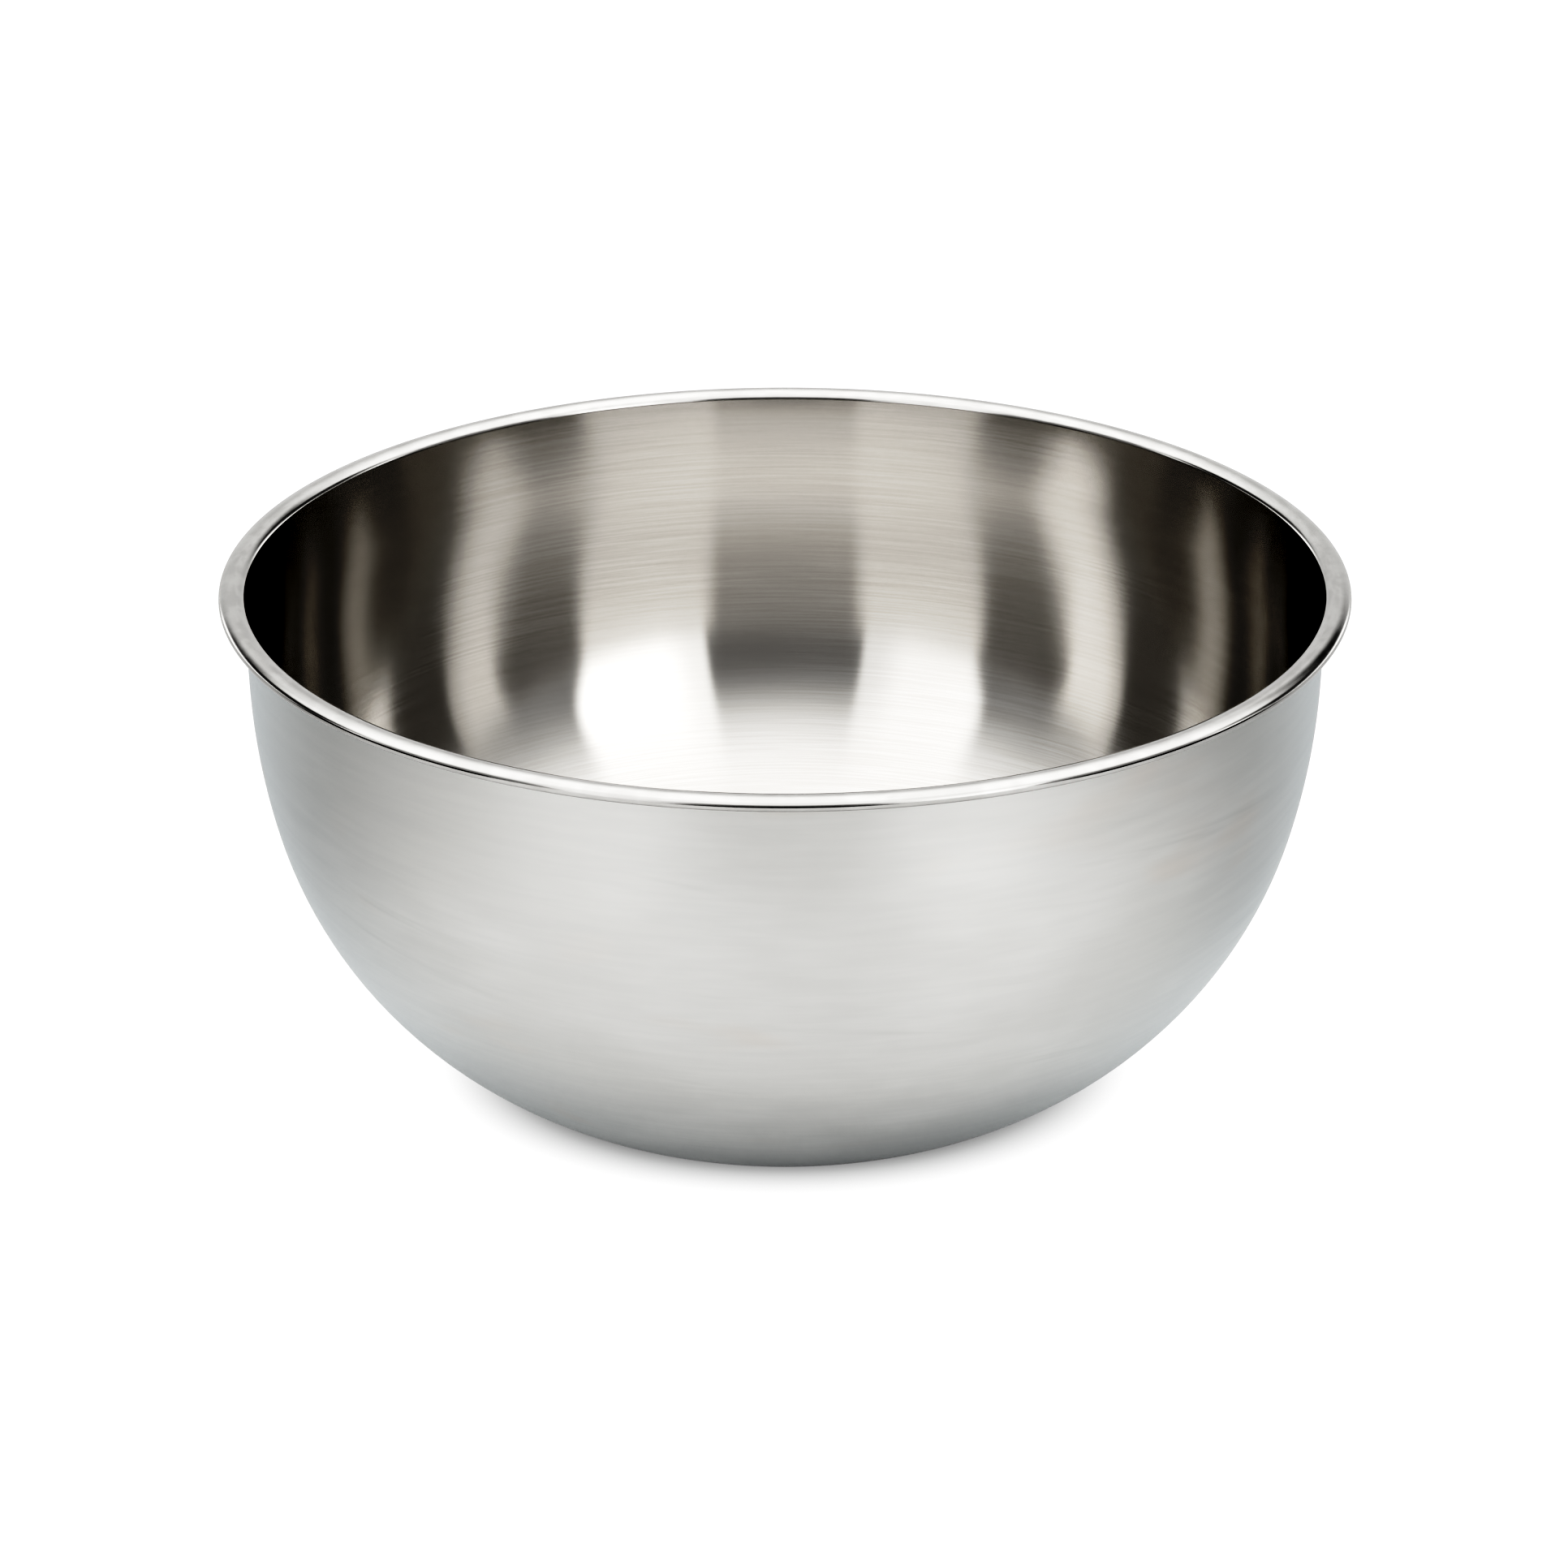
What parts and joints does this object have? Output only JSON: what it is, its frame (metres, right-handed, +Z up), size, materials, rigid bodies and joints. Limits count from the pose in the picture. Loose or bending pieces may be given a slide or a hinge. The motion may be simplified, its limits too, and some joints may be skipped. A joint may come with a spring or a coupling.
{
  "type": "mixing bowl",
  "caption": "Deep round stainless-steel mixing bowl with a flat base, a curved wall and an outward rolled rim stiffened by a wire ring.",
  "frame": {"origin": "centre of the flat base, on the plane that the bowl stands on", "axes": "+Z up along the bowl's axis, out of its mouth; X and Y are alike, because the bowl is round"},
  "size_m": [0.28, 0.28, 0.1326],
  "materials": {
    "stainless_sheet": "satin outside, fine lines round the inside, polished rim",
    "stainless_wire": "drawn wire"
  },
  "bodies": {
    "root": {"bowl_shell": "stainless_sheet", "rim_wire": "stainless_wire"}
  },
  "joints": []
}
